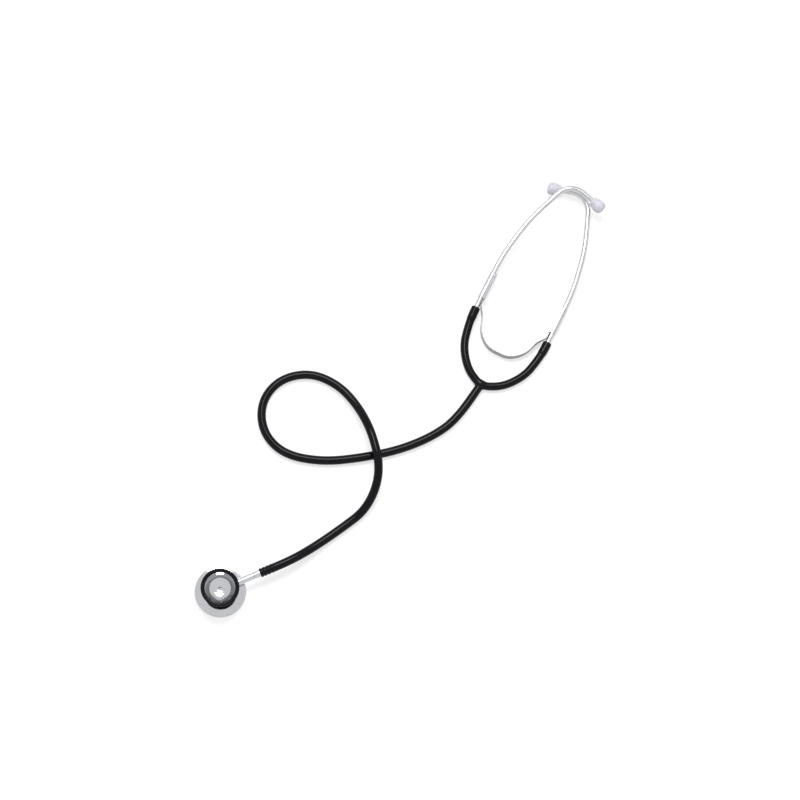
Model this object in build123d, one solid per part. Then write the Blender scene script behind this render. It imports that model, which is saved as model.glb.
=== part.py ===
from build123d import *
import os
from math import atan2, cos, degrees, pi, radians, sin, tan

# Dual-head stethoscope, lying on a table. Millimetres, +Z up.
# The origin is the centre of the plane on which the diaphragm's ring stands, and +X runs
# along the stem. The headset has a frame of its own: its origin is the bottom of the Y,
# u runs up the headset's middle line and v to its left.

# Tubing
tube_d = 7.5
tube_bore_d = 4.6
arm_d = 7.0
arm_bore_d = 4.4
lie_z = tube_d / 2
bend_share = 0.45

# Route of the main tube between its two ends, chosen by hand
first_run = 14.9
route_middle = [
    (90, 4, 6.5),
    (118, 10.3, lie_z),
    (148, 18, 5),
    (170, 41, 18.75),
    (177, 75, 18.75),
    (177, 106, 7),
    (168.5, 133, lie_z),
    (149, 153, lie_z),
    (121, 157.5, lie_z),
    (98, 144, lie_z),
    (89, 118, lie_z),
    (98.5, 92, lie_z),
    (128, 72.5, lie_z),
    (164, 62, lie_z),
    (198, 56, lie_z),
    (230, 56.5, lie_z),
]
last_run = 23

# Diaphragm side of the chestpiece
ring_d = 45.0
ring_height = 4.0
ring_lip = 0.8
ring_lip_width = 3.1
ring_wall = 1.1
thread_clearance = 0.05
diaphragm_t = 0.25
diaphragm_clearance = 0.15
drum_setback = 0.5
drum_edge = 0.6
drum_back_z = 7.5
chamber_step = 0.4
chamber_depth = 2.5
port_d = 2.6

# Neck, stem boss and bell
stem_rise = 5.5
neck_d = 13.0
neck_foot = 2.1
plate_rise = 0.5
boss_d = 9.5
boss_reach = 15.5
boss_web = 6.4
boss_web_setback = 1.0
bell_mouth_d = 26.4
bell_lip = 1.2
bell_skirt = 3.2
bell_neck_rise = 1.6
cup_floor_wall = 1.46
cup_heel_r = 8.8
cup_heel_rise = 1.5
cup_depth = 5.8
cup_hole_d = 3.5

# Non-chill rim of the bell
rim_clearance = 0.03
rim_upper_r = 1.55
rim_upper_out = 0.95
rim_upper_drop = 0.35
rim_lower_r = 1.3
rim_lower_out = 0.9
rim_lower_drop = 2.55
rim_cap = 0.6
rim_flat = 0.1

# Stem
spindle_d = 6.0
running_clearance = 0.04
spindle_inside = 5.7
spindle_end_play = 0.3
stem_bore_d = 3.0
stem_bore_inside = 1.6
collar_rise = 0.2
collar_x = 32.0
collar_length = 5.5
tail_length = 13.0
barb_height = 0.45
barb_pitch = 4.2
barb_count = 3
seal_section_d = 0.7
seal_squeeze = 0.01
seal_gap = 0.02
seal_x = (3.4, 12.6)
seal_groove_width = 0.9

# Click stop between spindle and head
detent_x = 7.6
ball_d = 2.0
ball_gap = 0.03
detent_groove_depth = 0.45
detent_groove_clearance = 0.1
dimple_depth = 0.2
detent_hole_clearance = 0.05
detent_screw_length = 1.7
detent_screw_recess = 0.3
screw_slot = 0.4
spring_wire_d = 0.3
spring_turns = 3
spring_seat_gap = 0.02

# Ribbed end of the tubing
cuff_length = 13.6
cuff_rib_rise = 0.2
cuff_groove_drop = 0.25
cuff_rib_count = 4
cuff_rib_width = 2.0
cuff_rib_slope = 0.3
cuff_end_stop = 0.6
barb_clearance = 0.05

# Headset frame
headset_x = 287.0
headset_y = 81.9
headset_turn = 40.3

# Y piece, in the headset's frame
yoke_inlet_u = -14.0
yoke_inlet_v = 3.2
yoke_lean = -7.8
crotch_radius = 16.0
arm_leave_angle = 63.4
yoke_reach = 11.0
yoke_stem_past = 2.0

# Arms, in the headset's frame, for the left one
arm_knee = (27.0, 31.5)
arm_first_run = 20.1
arm_straight_u = 46.0
arm_end_u = 69.0
arm_end_swell = 0.2
arm_end_length = 14.0
arm_end_taper = 4.0
arm_end_round = 0.8
ear_socket_gap = 0.03
ear_socket_end_gap = 0.3

# Ear tubes: the same bent tube twice, pitched up from pitch_u
pitch_u = 36.0
pitch_left = 4.95
pitch_right = 0.79
ear_tube_d = 5.0
ear_tube_wall = 0.5
ear_v = 36.2
ear_start_u = 55.5
ear_bend_1 = 118.0
ear_bend_2 = (160.0, 29.2)
ear_bend_3 = (209.6, 10.2)
ear_bend_length = 15.0
ear_bow_length = 19.0
ear_hook_radius = 17.5
ear_end_heading = -106.0
tip_far_end = 38.2

# Ear tips and their threaded ferrules
tip_length = 12.0
tip_base_d = 9.0
tip_wide_d = 11.4
tip_wide_at = 7.4
tip_side_lean = 0.05
tip_dome_bulge = (0.83, 0.7)
tip_mouth_d = 4.0
tip_mouth_bevel = 0.5
tip_hole_d = 2.6
tip_bore_depth = 8.0
tip_clearance = 0.05
ferrule_wall = 0.58
ferrule_bevel = 0.4
ferrule_length = 7.5
ferrule_setback = 0.3
ferrule_seat = 5.0
solder_gap = 0.02

# Spring and its clamps
strip_t = 0.8
strip_height = 8.0
strip_end_height = 4.4
strip_blank_height = 48.0
strip_floor_gap = 0.1
strip_bottom_u = 34.6
strip_corners = [(46.0, 22.8), (63.0, 27.2), (71.5, None)]
strip_corner_half = 10.5
strip_radii = (19.0, 25.0, 12.0, 6.0)
strip_full_to_u = 58.0
strip_taper_to_u = 71.0
strip_end_u = 96.0
strip_gap = 0.05
clamp_start_u = 80.0
clamp_length = 20.0
clamp_wall = 0.6

# How far a cut runs past the face that it opens
cut_past = 1.0

# Places and sizes worked out from those above
ring_r = ring_d / 2
drum_r = ring_r - drum_setback
thread_r = ring_r - ring_wall - thread_clearance
drum_rim_z = ring_lip + diaphragm_t
chamber_top_z = drum_rim_z + chamber_depth
chamber_r = ring_r - ring_lip_width
stem_z = drum_back_z + stem_rise
spindle_r = spindle_d / 2
head_bore_r = spindle_r + running_clearance
bell_r = bell_mouth_d / 2
bell_outer_r = bell_r + bell_lip
bell_neck_z = stem_z + bell_neck_rise
cup_floor_z = stem_z + head_bore_r + cup_floor_wall
cup_heel_z = cup_floor_z + cup_heel_rise
bell_top_z = cup_heel_z + cup_depth
rim_upper_at = (bell_outer_r + rim_upper_out, bell_top_z - rim_upper_drop)
rim_lower_at = (bell_outer_r + rim_lower_out, bell_top_z - rim_lower_drop)
ball_z = stem_z - spindle_r + detent_groove_depth - ball_d / 2 - ball_gap
collar_r = spindle_r + collar_rise
collar_end_x = collar_x + collar_length
tail_r = tube_bore_d / 2
tail_end_x = collar_end_x + tail_length
barb_r = tail_r + barb_height
cuff_end_x = collar_end_x + cuff_length
cuff_rib_r = tube_d / 2 + cuff_rib_rise
cuff_groove_r = tube_d / 2 - cuff_groove_drop
arm_end_r = arm_d / 2 + arm_end_swell
ear_tube_r = ear_tube_d / 2
ear_bore_r = ear_tube_r - ear_tube_wall
ferrule_r = ear_tube_r + solder_gap + ferrule_wall

headset = Location((headset_x, headset_y, 0), (0, 0, headset_turn))


def polar(length, angle):
    """Plane vector of a length and an angle in degrees."""
    return Vector(length * cos(radians(angle)), length * sin(radians(angle)))


def about_z(section):
    """Solid of revolution from a section drawn as (radius, height)."""
    return revolve(Plane.XZ * section, Axis.Z)


def outline(*points):
    """Face inside a closed outline of straight lines."""
    return make_face(Polyline(*points, close=True))


def bend_radii(points):
    """Largest tangent arc at each corner, as a share of its shorter run."""
    corners = [Vector(*p) for p in points]
    radii = []
    for before, here, after in zip(corners, corners[1:], corners[2:]):
        run_in = here - before
        run_out = after - here
        half_turn = radians(run_in.get_angle(run_out)) / 2
        radii.append(bend_share * min(run_in.length, run_out.length) / tan(half_turn))
    return radii


def carry(section, path):
    """Section carried along a path, square to its start."""
    start = Plane(origin=path @ 0, z_dir=path % 0)
    return sweep(start * section, path=path)


def pipe(points, radii, outer_d, inner_d):
    """Round tube along straight runs joined by tangent arcs."""
    path = FilletPolyline(*points, radius=radii)
    return carry(Circle(outer_d / 2) - Circle(inner_d / 2), path)


def rod(points, radii, d):
    """Round bar along the same kind of path."""
    return carry(Circle(d / 2), FilletPolyline(*points, radius=radii))


def turned_x(*points):
    """Solid of revolution about the stem's axis from (x, radius) points."""
    face = Plane.XZ * outline(*points)
    return Pos(0, 0, stem_z) * revolve(face, Axis.X)


def x_cylinder(x_from, x_to, d):
    """Bar along the stem's axis."""
    return turned_x((x_from, 0), (x_to, 0), (x_to, d / 2), (x_from, d / 2))


def z_cylinder(x, z_from, z_to, d):
    """Upright bar on the stem's plane."""
    return Pos(x, 0, z_from) * extrude(Circle(d / 2), z_to - z_from)


# Chestpiece


def head_blank():
    """Drum, neck and bell before they are hollowed."""
    neck_r = neck_d / 2
    foot_z = drum_back_z + plate_rise
    foot = (neck_r + neck_foot, foot_z)
    rise = (neck_r, foot_z + neck_foot)
    bulge = neck_foot * (1 - cos(radians(45)))
    hollow = (neck_r + bulge, foot_z + bulge)
    edge = Polyline(
        (0, drum_rim_z),
        (thread_r, drum_rim_z),
        (thread_r, ring_height),
        (drum_r, ring_height),
        (drum_r, drum_back_z - drum_edge),
        (drum_r - drum_edge, drum_back_z),
        foot,
    )
    neck_arc = ThreePointArc(foot, hollow, rise)
    bell = Polyline(
        rise,
        (neck_r, bell_neck_z),
        (bell_outer_r, bell_top_z - bell_skirt),
        (bell_outer_r, bell_top_z),
        (0, bell_top_z),
        (0, drum_rim_z),
    )
    return about_z(make_face([*edge.edges(), neck_arc, *bell.edges()]))


def bell_hollow():
    """Inside of the bell: a steep cone over a rounded floor."""
    above = bell_top_z + cut_past
    halfway = (cup_heel_r / 2, cup_floor_z + cup_heel_rise / 4)
    floor = ThreePointArc((0, cup_floor_z), halfway, (cup_heel_r, cup_heel_z))
    side = Polyline(
        (cup_heel_r, cup_heel_z), (bell_r, bell_top_z), (bell_r, above), (0, above), (0, cup_floor_z)
    )
    return about_z(make_face([floor, *side.edges()]))


def diaphragm_chamber():
    """Shallow cone behind the diaphragm."""
    step_z = drum_rim_z + chamber_step
    below = drum_rim_z - cut_past
    return about_z(
        outline((0, below), (chamber_r, below), (chamber_r, step_z), (0, chamber_top_z))
    )


def detent_screw_z():
    """Lower end of the set screw, just inside its hole."""
    slope = (chamber_top_z - drum_rim_z - chamber_step) / chamber_r
    return chamber_top_z - slope * detent_x + detent_screw_recess


def chestpiece_body():
    """One turned piece, bored across for the stem and up and down for the sound."""
    body = head_blank()
    body += x_cylinder(0, boss_reach, boss_d)
    body += Pos(boss_reach / 2, 0, (drum_back_z + stem_z) / 2) * Box(
        boss_reach - 2 * boss_web_setback, boss_web, stem_z - drum_back_z
    )
    body -= bell_hollow()
    body -= diaphragm_chamber()
    inner_end = -spindle_inside - spindle_end_play
    body -= x_cylinder(inner_end, boss_reach + cut_past, 2 * head_bore_r)
    body -= z_cylinder(0, drum_rim_z, stem_z, port_d)
    body -= z_cylinder(0, stem_z, bell_top_z, cup_hole_d)
    body -= z_cylinder(detent_x, drum_rim_z, stem_z, ball_d + 2 * detent_hole_clearance)
    return body


def bell_rim():
    """Rubber ring of two rolls that grips the bell's lip from outside and over its edge."""
    inner_r = bell_outer_r + rim_clearance
    cap_z = bell_top_z + rim_clearance
    upper = Pos(*rim_upper_at) * Circle(rim_upper_r)
    lower = Pos(*rim_lower_at) * Circle(rim_lower_r)
    cap = outline(
        (bell_r, cap_z),
        (rim_upper_at[0], cap_z),
        (rim_upper_at[0], cap_z + rim_upper_r / 2),
        (bell_r + rim_cap / 2, cap_z + rim_cap),
        (bell_r, cap_z + rim_cap / 2),
    )
    skirt = outline(
        (inner_r, rim_lower_at[1] - rim_lower_r),
        (rim_lower_at[0], rim_lower_at[1] - rim_lower_r),
        rim_upper_at,
        (inner_r, cap_z),
    )
    lip = outline((0, 0), (inner_r, 0), (inner_r, cap_z), (0, cap_z))
    top_z = rim_upper_at[1] + rim_upper_r - rim_flat
    crest = Pos(0, top_z) * Rectangle(ring_r, cut_past, align=(Align.MIN, Align.MIN))
    return about_z(upper + lower + cap + skirt - lip - crest)


def retaining_ring():
    """Screw ring with a lip under the diaphragm and a rounded outer corner."""
    section = outline(
        (chamber_r, 0),
        (ring_r, 0),
        (ring_r, ring_height),
        (ring_r - ring_wall, ring_height),
        (ring_r - ring_wall, ring_lip),
        (chamber_r, ring_lip),
    )
    outer_corners = section.vertices().group_by(Axis.X)[-1]
    return about_z(fillet(outer_corners, ring_wall / 2))


def diaphragm():
    """Thin disc clamped between the ring's lip and the drum's rim."""
    r = ring_r - ring_wall - diaphragm_clearance
    return Pos(0, 0, ring_lip) * extrude(Circle(r), diaphragm_t)


def detent_ball():
    return Pos(detent_x, 0, ball_z) * Sphere(ball_d / 2)


def detent_screw():
    """Slotted set screw behind the spring."""
    low = detent_screw_z()
    screw = z_cylinder(detent_x, low, low + detent_screw_length, ball_d + detent_hole_clearance)
    return screw - Pos(detent_x, 0, low) * Box(2 * ball_d, screw_slot, 2 * screw_slot)


def detent_spring():
    """Small coil between the screw and the ball."""
    low = detent_screw_z() + detent_screw_length + spring_wire_d / 2 + spring_seat_gap
    coil_r = ball_d / 2 - spring_wire_d
    reach = ball_z - ball_d / 2 - low
    coil = Helix(pitch=reach / spring_turns, height=reach, radius=coil_r)
    wire = Plane(origin=coil @ 0, z_dir=coil % 0) * Circle(spring_wire_d / 2)
    return Pos(detent_x, 0, low) * sweep(wire, path=coil, is_frenet=True)


# Stem and the ribbed tube end


def tail_outline():
    """Barbs of the tail as (x, radius) points, from its end back to the collar."""
    points = []
    for i in range(barb_count):
        tip = tail_end_x - i * barb_pitch
        points.append((tip, tail_r))
        points.append((tip - barb_pitch / 2, barb_r))
        points.append((tip - barb_pitch / 2, tail_r))
    return points


def stem():
    """Hollow spindle and tail: port, seal grooves, click groove, collar and barbs."""
    body = turned_x(
        (-spindle_inside, 0),
        (tail_end_x, 0),
        *tail_outline(),
        (collar_end_x, tail_r),
        (collar_end_x, collar_r),
        (collar_x, collar_r),
        (collar_x, spindle_r),
        (-spindle_inside, spindle_r),
    )
    for x in seal_x:
        groove = x_cylinder(x - seal_groove_width / 2, x + seal_groove_width / 2, 2 * spindle_d)
        body -= groove - x_cylinder(x - seal_groove_width, x + seal_groove_width, seal_floor_d())
    half = ball_d / 2 + detent_groove_clearance
    track = x_cylinder(detent_x - half, detent_x + half, 2 * spindle_d)
    floor_d = spindle_d - 2 * detent_groove_depth
    body -= track - x_cylinder(detent_x - 2 * half, detent_x + 2 * half, floor_d)
    for side in (-1, 1):
        depth_z = stem_z + side * (floor_d / 2 + ball_d / 2 - dimple_depth)
        body -= Pos(detent_x, 0, depth_z) * Sphere(ball_d / 2)
    body -= x_cylinder(-stem_bore_inside, tail_end_x + cut_past, stem_bore_d)
    return body - z_cylinder(0, stem_z - spindle_d, stem_z, port_d)


def seal_floor_d():
    """Bottom of a seal's groove."""
    return spindle_d + 2 * (seal_squeeze - seal_section_d - seal_gap)


def stem_o_rings():
    """Two seals in the spindle's grooves."""
    r = spindle_r + seal_squeeze - seal_section_d / 2
    ring = Rot(0, 90, 0) * Torus(r, seal_section_d / 2)
    return Compound([Pos(x, 0, stem_z) * ring for x in seal_x])


def tube_end_cuff():
    """Ribbed end of the tubing, stretched over the stem's barbs."""
    inside_r = barb_r + barb_clearance
    stop_x = cuff_end_x - cuff_end_stop
    points = [
        (cuff_end_x, tube_bore_d / 2),
        (stop_x, tube_bore_d / 2),
        (stop_x, inside_r),
        (collar_end_x, inside_r),
        (collar_end_x, cuff_rib_r),
    ]
    pitch = cuff_length / cuff_rib_count
    for i in range(cuff_rib_count):
        rib_end = collar_end_x + i * pitch + cuff_rib_width
        groove_end = collar_end_x + (i + 1) * pitch
        points.append((rib_end, cuff_rib_r))
        points.append((rib_end + cuff_rib_slope, cuff_groove_r))
        if i < cuff_rib_count - 1:
            points.append((groove_end - cuff_rib_slope, cuff_groove_r))
            points.append((groove_end, cuff_rib_r))
    points.append((cuff_end_x, tube_d / 2))
    return turned_x(*points)


# Main tube


def route_points():
    """The main tube's route: its two ends are set by the cuff and the Y."""
    start = Vector(cuff_end_x, 0, stem_z)
    inlet = yoke_inlet()
    back = polar(last_run, headset_turn + yoke_lean)
    return [start, start + Vector(first_run, 0, 0), *route_middle, inlet - back, inlet]


def yoke_inlet():
    """Where the main tube meets the Y."""
    return (headset * Pos(yoke_inlet_u, yoke_inlet_v, lie_z)).position


def main_tube():
    points = route_points()
    radii = bend_radii(points)
    print("main tube radii", [round(r, 1) for r in radii])
    tube = pipe(points, radii, tube_d, tube_bore_d)
    length = FilletPolyline(*points, radius=radii).length
    section = pi * (tube_d**2 - tube_bore_d**2) / 4
    print("main tube length", round(length, 1), "volume", round(tube.volume / section / length, 4))
    return tube


# Y and arms, in the headset's frame


def yoke_form(stem_d, branch_d, overrun):
    """Stem and two branches of the Y as one solid bar."""
    reach = polar(yoke_reach + overrun, arm_leave_angle)
    left = Vector(reach.X, reach.Y, lie_z)
    right = Vector(reach.X, -reach.Y, lie_z)
    branches = rod([right, (0, 0, lie_z), left], [crotch_radius], branch_d)
    along = polar(1, yoke_lean)
    inlet = Vector(yoke_inlet_u, yoke_inlet_v, lie_z) - along * overrun
    length = (yoke_stem_past - yoke_inlet_u) / along.X + overrun
    leg = Plane(origin=inlet, z_dir=along) * Circle(stem_d / 2)
    narrowing = degrees(atan2(stem_d - branch_d, 2 * length))
    return branches + extrude(leg, length, taper=narrowing)


def yoke():
    """Moulded Y, hollow through all three legs."""
    return headset * (yoke_form(tube_d, arm_d, 0) - yoke_form(tube_bore_d, arm_bore_d, 1))


def arm_points(pitch):
    """Corners of the left arm, which rises with its ear tube."""
    start = polar(yoke_reach, arm_leave_angle)
    first = polar(arm_first_run, arm_leave_angle)
    slope = tan(radians(pitch))
    return [
        (start.X, start.Y, lie_z),
        (first.X, first.Y, lie_z),
        (*arm_knee, lie_z),
        (arm_straight_u, ear_v, lie_z + slope * (arm_straight_u - pitch_u)),
        (arm_end_u, ear_v, lie_z + slope * (arm_end_u - pitch_u)),
    ]


def arm_tube(pitch):
    """Arm with its end stretched over the ear tube."""
    points = arm_points(pitch)
    radii = bend_radii(points)
    corner, end = Vector(*points[-2]), Vector(*points[-1])
    socket = Plane(origin=end, z_dir=corner - end)
    stretch = about_z(
        outline(
            (0, 0),
            (arm_end_r, 0),
            (arm_end_r, arm_end_length - arm_end_taper),
            (arm_d / 2, arm_end_length),
            (0, arm_end_length),
        )
    )
    rim = stretch.edges().group_by(Axis.Z)[0]
    short_end = end + (corner - end).normalized() * 2 * arm_end_round
    arm = rod([*points[:-1], short_end], radii, arm_d)
    arm += socket.location * fillet(rim, arm_end_round)
    arm -= rod(points, radii, arm_bore_d)
    hole_d = ear_tube_d + 2 * ear_socket_gap
    hole = extrude(Circle(hole_d / 2), arm_end_u - ear_start_u + ear_socket_end_gap)
    return arm - socket.location * hole


# Ear tube and its fittings, in the headset's frame before the pitch, for the left side


def ear_end(distance):
    """Point on the last straight of the ear tube's axis, from the hook's corner."""
    return Vector(*ear_bend_3) + polar(distance, ear_end_heading)


def ear_tube():
    """Bent tube: straight, bowed inwards, then hooked towards the ear."""
    start = Vector(ear_start_u, ear_v)
    first = Vector(ear_bend_1, ear_v)
    second = Vector(*ear_bend_2)
    third = Vector(*ear_bend_3)
    end = ear_end(tip_far_end - tip_length + ferrule_setback + ferrule_seat)
    turn_1 = radians((first - start).get_angle(second - first))
    turn_2 = radians((second - first).get_angle(third - second))
    radii = [
        ear_bend_length / tan(turn_1 / 2),
        ear_bow_length / tan(turn_2 / 2),
        ear_hook_radius,
    ]
    return pipe([start, first, second, third, end], radii, ear_tube_d, 2 * ear_bore_r)


def on_ear_end(distance, shape):
    """Places a shape drawn along +Z on the last straight of the ear tube."""
    along = polar(1, ear_end_heading)
    return Plane(origin=ear_end(distance), z_dir=along).location * shape


def ear_tip_ferrule():
    """Threaded end soldered on the ear tube, drawn without its thread."""
    socket_r = ear_tube_r + solder_gap
    section = outline(
        (socket_r, 0),
        (ferrule_r, 0),
        (ferrule_r, ferrule_length - ferrule_bevel),
        (ferrule_r - ferrule_bevel, ferrule_length),
        (ear_bore_r, ferrule_length),
        (ear_bore_r, ferrule_seat),
        (socket_r, ferrule_seat),
    )
    return on_ear_end(tip_far_end - tip_length + ferrule_setback, about_z(section))


def ear_tip():
    """Soft tip: a bulb with a rounded mouth and a socket for the ferrule."""
    base_r = tip_base_d / 2
    wide_r = tip_wide_d / 2
    socket_r = ferrule_r + tip_clearance
    side = Spline((base_r, 0), (wide_r, tip_wide_at), tangents=[(tip_side_lean, 1), (0, 1)])
    across, up = tip_dome_bulge
    dome = ThreePointArc(
        (wide_r, tip_wide_at),
        (across * wide_r, tip_wide_at + up * (tip_length - tip_wide_at)),
        (tip_mouth_d / 2, tip_length),
    )
    inside = Polyline(
        (tip_mouth_d / 2, tip_length),
        (tip_hole_d / 2, tip_length - tip_mouth_bevel),
        (tip_hole_d / 2, tip_bore_depth),
        (socket_r, tip_bore_depth),
        (socket_r, 0),
        (base_r, 0),
    )
    return on_ear_end(tip_far_end - tip_length, about_z(make_face([side, dome, *inside.edges()])))


def spring_clamp():
    """Rolled sleeve round the ear tube and the spring's end."""
    inner_r = ear_tube_r + solder_gap
    slot_half = strip_end_height / 2 + 2 * strip_gap
    slot_depth = ear_tube_r + strip_t + 2 * strip_gap
    pocket_depth = slot_depth + clamp_wall
    pocket = Pos(-pocket_depth / 2, 0) * Rectangle(pocket_depth, 2 * (slot_half + clamp_wall))
    shell = Circle(inner_r + clamp_wall)
    shell += fillet(pocket.vertices().group_by(Axis.X)[0], clamp_wall)
    shell -= Circle(inner_r)
    shell -= Pos(-slot_depth / 2, 0) * Rectangle(slot_depth, 2 * slot_half)
    across = Plane(origin=(clamp_start_u, ear_v, 0), x_dir=(0, 1, 0), z_dir=(1, 0, 0))
    return extrude(across * shell, clamp_length)


def pitched(shape, pitch):
    """Turns an ear tube's fitting up from the table, about the pitch line."""
    return Pos(pitch_u, 0, lie_z) * Rot(0, -pitch, 0) * Pos(-pitch_u, 0, 0) * shape


def left_side(shape):
    return headset * pitched(shape, pitch_left)


def right_side(shape):
    return headset * pitched(mirror(shape, about=Plane.XZ), pitch_right)


# Spring


def strip_side(pitch, side):
    """Side view of one half of the spring, as a block that trims the strip."""
    slope = tan(radians(pitch))
    low = strip_floor_gap
    high = low + strip_height
    half = strip_end_height / 2
    taper_z = lie_z + slope * (strip_taper_to_u - pitch_u)
    end_z = lie_z + slope * (strip_end_u - pitch_u)
    view = outline(
        (0, low),
        (strip_full_to_u, low),
        (strip_taper_to_u, taper_z - half),
        (strip_end_u, end_z - half),
        (strip_end_u, end_z + half),
        (strip_taper_to_u, taper_z + half),
        (strip_full_to_u, high),
        (0, high),
    )
    return extrude(Plane.XZ * view, -side * 2 * ear_v)


def strip_points():
    """Plan of the spring: a bow whose ends step out to lie along the ear tubes."""
    tongue_v = ear_v - ear_tube_r - strip_gap - strip_t / 2
    half = [(strip_bottom_u, strip_corner_half)]
    half += [(u, tongue_v if v is None else v) for u, v in strip_corners]
    half.append((strip_end_u, tongue_v))
    return [(u, -v) for u, v in reversed(half)] + half


def spring_strip():
    """Leaf spring on edge, trimmed to its side view from a much taller ribbon."""
    radii = list(reversed(strip_radii)) + list(strip_radii)
    path = FilletPolyline(*strip_points(), radius=radii)
    start = Plane(origin=path @ 0, x_dir=(0, 0, 1), z_dir=path % 0)
    ribbon = sweep(start * Rectangle(strip_blank_height, strip_t), path=path)
    left = ribbon & strip_side(pitch_left, 1)
    right = ribbon & strip_side(pitch_right, -1)
    return headset * (left + right)


def parts():
    """Every piece by its node's name."""
    made = {
        "chestpiece_body": chestpiece_body(),
        "bell_rim": bell_rim(),
        "retaining_ring": retaining_ring(),
        "diaphragm": diaphragm(),
        "detent_ball": detent_ball(),
        "detent_spring": detent_spring(),
        "detent_screw": detent_screw(),
        "stem": stem(),
        "stem_o_rings": stem_o_rings(),
        "tube_end_cuff": tube_end_cuff(),
        "main_tube": main_tube(),
        "yoke": yoke(),
        "arm_tube_left": headset * arm_tube(pitch_left),
        "arm_tube_right": headset * mirror(arm_tube(pitch_right), about=Plane.XZ),
        "spring_strip": spring_strip(),
    }
    for name, shape in (
        ("spring_clamp", spring_clamp()),
        ("ear_tube", ear_tube()),
        ("ear_tip_ferrule", ear_tip_ferrule()),
        ("ear_tip", ear_tip()),
    ):
        made[name + "_left"] = left_side(shape)
        made[name + "_right"] = right_side(shape)
    return made


os.makedirs("parts", exist_ok=True)
for node, solid in parts().items():
    export_step(solid, "parts/" + node + ".step")
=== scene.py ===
import bmesh
import bpy
import numpy as np
from bpy.props import FloatProperty, FloatVectorProperty, PointerProperty
from mathutils import Matrix


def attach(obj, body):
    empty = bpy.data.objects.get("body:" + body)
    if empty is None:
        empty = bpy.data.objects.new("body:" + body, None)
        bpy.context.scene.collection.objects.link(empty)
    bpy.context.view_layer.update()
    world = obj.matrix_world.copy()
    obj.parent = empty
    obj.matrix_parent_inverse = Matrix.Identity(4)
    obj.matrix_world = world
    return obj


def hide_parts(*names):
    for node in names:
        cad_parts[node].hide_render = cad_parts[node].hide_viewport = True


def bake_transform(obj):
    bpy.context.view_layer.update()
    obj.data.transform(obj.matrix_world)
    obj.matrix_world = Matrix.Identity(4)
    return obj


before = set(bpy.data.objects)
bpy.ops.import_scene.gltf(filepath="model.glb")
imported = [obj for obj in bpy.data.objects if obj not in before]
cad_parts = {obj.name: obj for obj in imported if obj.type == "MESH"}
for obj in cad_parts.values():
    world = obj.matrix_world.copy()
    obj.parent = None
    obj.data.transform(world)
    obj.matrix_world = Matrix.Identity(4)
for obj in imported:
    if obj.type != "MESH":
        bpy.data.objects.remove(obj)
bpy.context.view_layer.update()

bl_info = {
    "name": "Dual-head stethoscope",
    "version": (1, 0, 0),
    "blender": (4, 5, 0),
    "location": "View3D > Sidebar > Stethoscope",
    "description": "Dresses the stethoscope's packed frame with its finished surfaces",
    "category": "Add Mesh",
}

MM = 0.001

# Stem axis, and the centre of the plane on which the ring stands
AXIS_HEIGHT = 13.0 * MM
RISE = np.array((0.0, 0.0, 1.0))
AHEAD = np.array((1.0, 0.0, 0.0))

# Headset frame: u runs up its middle line, v to its left
HEADSET_AT = np.array((287.0, 81.9)) * MM
HEADSET_TURN = np.radians(40.3)
ALONG_U = np.array((np.cos(HEADSET_TURN), np.sin(HEADSET_TURN), 0.0))
ALONG_V = np.array((-np.sin(HEADSET_TURN), np.cos(HEADSET_TURN), 0.0))
PITCH_LINE_U = 36.0
PITCH = {"left": np.radians(4.95), "right": np.radians(0.79)}
SIDE = {"left": 1, "right": -1}
LIE = 3.75

# Turned pieces of the head, in millimetres: radii from the axis, heights over the table
PORT_R = 1.3
MOUTH_HEIGHT = 24.8
LIP_WALL = 1.2
DRUM_INSET = 0.5
RING_TOP = 4.0
RING_SHELF = 3.1
RING_WALL = 1.1

# Pieces on the stem's axis, in millimetres: radii from it, and places along it from the head's axis
STEM_BORE_R = 3.04
BOSS_R = 4.75
BOSS_START = 2.0
BOSS_END = 15.5
SPINDLE_R = 3.0
DUCT_R = 1.5
TAIL_R = 2.3
CUFF_START = 37.5
CUFF_END = 51.1
CUFF_RIBS = 4
CUFF_RIB_HEIGHT = 0.25
CUFF_EDGE = 0.35

# Route of the main tube, in millimetres: the control points of its spline
TUBE_ROUTE = [
    (51.1, 0, 13),
    (66.0, 0, 13),
    (90, 4, 6.5),
    (118, 10.3, 3.75),
    (148, 18, 5),
    (170, 41, 18.75),
    (177, 75, 18.75),
    (177, 106, 7),
    (168.5, 133, 3.75),
    (149, 153, 3.75),
    (121, 157.5, 3.75),
    (98, 144, 3.75),
    (89, 118, 3.75),
    (98.5, 92, 3.75),
    (128, 72.5, 3.75),
    (164, 62, 3.75),
    (198, 56, 3.75),
    (230, 56.5, 3.75),
    (254.86, 62.93, 3.75),
    (274.25, 75.29, 3.75),
]

# The Y, the arms and the spring, in the headset's frame, in millimetres and degrees
YOKE_INLET = (-14.0, 3.2)
YOKE_LEAN = -7.8
YOKE_RADIUS = 16.0
YOKE_LEAVE = 63.4
YOKE_WAY = np.array((np.cos(np.radians(YOKE_LEAVE)), np.sin(np.radians(YOKE_LEAVE))))
YOKE_REACH = 11.0
YOKE_LEG = 15.5
ARM_FIRST_RUN = 20.1
ARM_KNEE = (27.0, 31.0)
ARM_BEND = (45.0, 34.9)
ARM_STRAIGHT_U = 56.0
ARM_END_U = 64.5
ARM_END_SWELL = 0.35
ARM_END_LENGTH = 14.0
ARM_END_TAPER = 4.0
ARM_END_ROUND = 0.8
STRIP_BOTTOM_U = 34.6
STRIP_BOTTOM_V = 10.5
STRIP_KINKS = [(44.8, 22.6), (59.0, 27.2)]
STRIP_LANDING_U = 67.5
STRIP_END_U = 96
STRIP_BENDS = [19.0, 25.0, 12.0, 6.0]
STRIP_TALL = 8.0
STRIP_MIDDLE = 4.1
TONGUE_TALL = 4.4
TONGUE_TAPER_U = 54.0
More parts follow.
